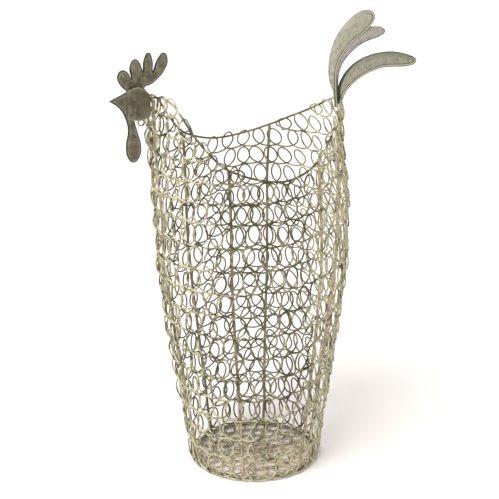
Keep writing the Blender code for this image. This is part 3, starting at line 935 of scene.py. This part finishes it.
def cheek_grid(node):
    """A cheek's middle surface from the plate round to the neck, and each point's distance from an edge.

    The cheek is a quarter of an ellipse from above. Its middle bulges and its top turns in a little."""
    low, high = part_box(node)
    side = -1 if high[1] < 0 else 1
    inner = SHEET_HALF + PLATE_GAP
    spread = max(abs(low[1]), abs(high[1])) - CHEEK_HALF
    points, insets = [], []
    for i in range(CHEEK_COLUMNS + 1):
        angle = math.pi / 2 * i / CHEEK_COLUMNS
        back = 1 - math.cos(angle)
        x = low[0] + CHEEK_HALF + (high[0] - low[0] - CHEEK_HALF) * back
        y = inner + (spread - inner) * math.sin(angle)
        bottom = CHEEK_BOTTOM + CHEEK_TUCK * back**4
        top = CHEEK_TOP + CHEEK_DOME * math.sin(math.pi * back) - CHEEK_FALL * back**3
        for j in range(CHEEK_ROWS + 1):
            rise = j / CHEEK_ROWS
            turned_in = CROWN_TURN * smooth((rise - CROWN_START) / (1 - CROWN_START))
            bulge = (CHEEK_BULGE * math.sin(math.pi * rise) - turned_in) * math.sin(angle)
            points.append((x, side * (y + bulge), bottom + (top - bottom) * rise))
            insets.append(min(rise, 1 - rise) * (top - bottom))
    faces = []
    for i in range(CHEEK_COLUMNS):
        for j in range(CHEEK_ROWS):
            at = i * (CHEEK_ROWS + 1) + j
            beyond = at + CHEEK_ROWS + 1
            face = (at, at + 1, beyond + 1, beyond)
            faces.append(face if side > 0 else face[::-1])
    return points, faces, insets


def cheeks(material):
    """The two curved halves of the hood, as thin sheets with rounded edges."""
    for node in ("cheek_left", "cheek_right"):
        points, faces, insets = cheek_grid(node)
        mesh = bpy.data.meshes.new(node)
        mesh.from_pydata(points, [], faces)
        mesh.attributes.new("inset", "FLOAT", "POINT").data.foreach_set("value", insets)
        mesh.materials.append(material)
        piece = bpy.data.objects.new(node + "_sheet", mesh)
        bpy.context.scene.collection.objects.link(piece)
        shell = piece.modifiers.new("Thickness", "SOLIDIFY")
        shell.thickness = 2 * CHEEK_HALF
        shell.offset = 0
        edges = piece.modifiers.new("Edges", "BEVEL")
        edges.width = CHEEK_EDGE
        edges.segments = 2
        mesh.shade_smooth()
        stand_for(piece, node)


def chin_ring(material):
    """The small upright ring of wire under the hood."""
    low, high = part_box("chin_ring")
    x, y, z = ((a + b) / 2 for a, b in zip(low, high))
    radius = (high[0] - low[0]) / 2 - LOOP_RADIUS
    steps = 28
    angles = [math.tau * i / steps for i in range(steps)]
    points = [(x + radius * math.cos(angle), y, z + radius * math.sin(angle)) for angle in angles]
    stand_for(wire("chin_ring_wire", points, LOOP_RADIUS, material, closed=True), "chin_ring")


# Studio


def studio():
    """A wide pale paper floor under an even sky and one very soft sun."""
    bpy.ops.mesh.primitive_plane_add(size=400)
    floor = bpy.context.object
    floor.name = "studio_floor"
    paper = bpy.data.materials.new("studio_paper")
    paper.use_nodes = True
    shader = paper.node_tree.nodes["Principled BSDF"]
    shader.inputs["Base Color"].default_value = (0.97, 0.935, 0.92, 1)
    shader.inputs["Roughness"].default_value = 0.9
    floor.data.materials.append(paper)

    world = bpy.data.worlds.new("studio_world")
    world.use_nodes = True
    sky = world.node_tree.nodes["Background"]
    sky.inputs["Color"].default_value = (1, 0.97, 0.94, 1)
    sky.inputs["Strength"].default_value = 0.66
    bpy.context.scene.world = world

    sun = bpy.data.lights.new("studio_sun", "SUN")
    sun.energy = 2.7
    sun.angle = math.radians(40)
    lamp = bpy.data.objects.new("studio_sun", sun)
    lamp.rotation_euler = (math.radians(20), math.radians(-35), 0)
    bpy.context.scene.collection.objects.link(lamp)
    bpy.context.scene.view_settings.view_transform = "Standard"


def camera():
    """The photograph's viewpoint: ahead of the left side, a little above the rim."""
    data = bpy.data.cameras.new("camera")
    data.sensor_width = 36
    data.lens = 85.2
    view = bpy.data.objects.new("camera", data)
    bpy.context.scene.collection.objects.link(view)
    view.location = (-0.4206, -1.2199, 0.6843)
    forward = Vector((0.30715, 0.89865, -0.3132))
    roll = Quaternion((0, 0, 1), math.radians(-0.75))
    view.rotation_euler = (forward.to_track_quat("-Z", "Y") @ roll).to_euler()
    bpy.context.scene.camera = view


def wire_pieces():
    """The cage: its base, ribs, tiers, rim and the ring under the chin, each in its own tone."""
    far = (0.205, 0.20, 0.125)
    # Each wire material holds real wear and stains, plus painted light and shade placed by wire_metal.
    loops = wire_metal(
        "aged_loop_wire_and_painted_light", bare=(0.092, 0.086, 0.038), wash=(0.56, 0.53, 0.36), stain=(0.05, 0.047, 0.021),
        far=far, wash_low=0.45, wash_high=0.6,
    )
    uprights = wire_metal(
        "aged_rib_wire_and_painted_light", bare=(0.17, 0.15, 0.088), wash=(0.58, 0.49, 0.35), stain=(0.09, 0.08, 0.042),
        far=far, wash_low=0.40, wash_high=0.54,
    )
    edge_bare, edge_stain = (0.085, 0.083, 0.046), (0.045, 0.042, 0.022)
    base_wire = wire_metal(
        "aged_base_wire_and_painted_light", bare=edge_bare, wash=(0.44, 0.42, 0.3), stain=edge_stain,
        far=far, wash_low=0.54, wash_high=0.68,
    )
    rim_wire = wire_metal(
        "aged_rim_wire_and_painted_light", bare=edge_bare, wash=(0.56, 0.53, 0.37), stain=edge_stain,
        far=far, wash_low=0.50, wash_high=0.64,
    )
    floor_wire = wire_metal(
        "aged_floor_wire_and_painted_light", bare=(0.30, 0.25, 0.15), wash=(0.80, 0.68, 0.50), stain=(0.12, 0.095, 0.05),
        far=(0.17, 0.145, 0.075), wash_low=0.32, wash_high=0.47,
    )
    base(base_wire, floor_wire)
    ribs(uprights)
    tiers(loops)
    rim(rim_wire)
    chin_ring(loops)


def feather_pieces():
    """The three feathers. The lower one is greyer, with painted shade along its top edge that turns near
    black at its root as painted shadow.
    """
    pink, green, lilac = (0.46, 0.41, 0.36), (0.375, 0.38, 0.28), (0.37, 0.355, 0.32)
    grey_pink, grey_green = (0.35, 0.34, 0.26), (0.30, 0.305, 0.225)
    shared = {"edge": (0.62, 0.60, 0.48), "dark": (0.075, 0.072, 0.025)}
    feathers({
        "feather_upper": feather_metal(
            "pale_upper_feather", pink, green, **shared, line=3.1 * MM, light=0.85, top_edge_shade=0.0),
        "feather_middle": feather_metal(
            "pale_middle_feather", pink, lilac, **shared, line=1.0 * MM, light=0.0, top_edge_shade=0.0),
        "feather_lower": feather_metal(
            "grey_lower_feather", grey_pink, grey_green, **shared, line=3.1 * MM, light=0.9, top_edge_shade=1.0),
    })


def build():
    camera()
    studio()
    wire_pieces()
    head_plate(comb_metal())
    cheeks(hood_metal())
    feather_pieces()


build()
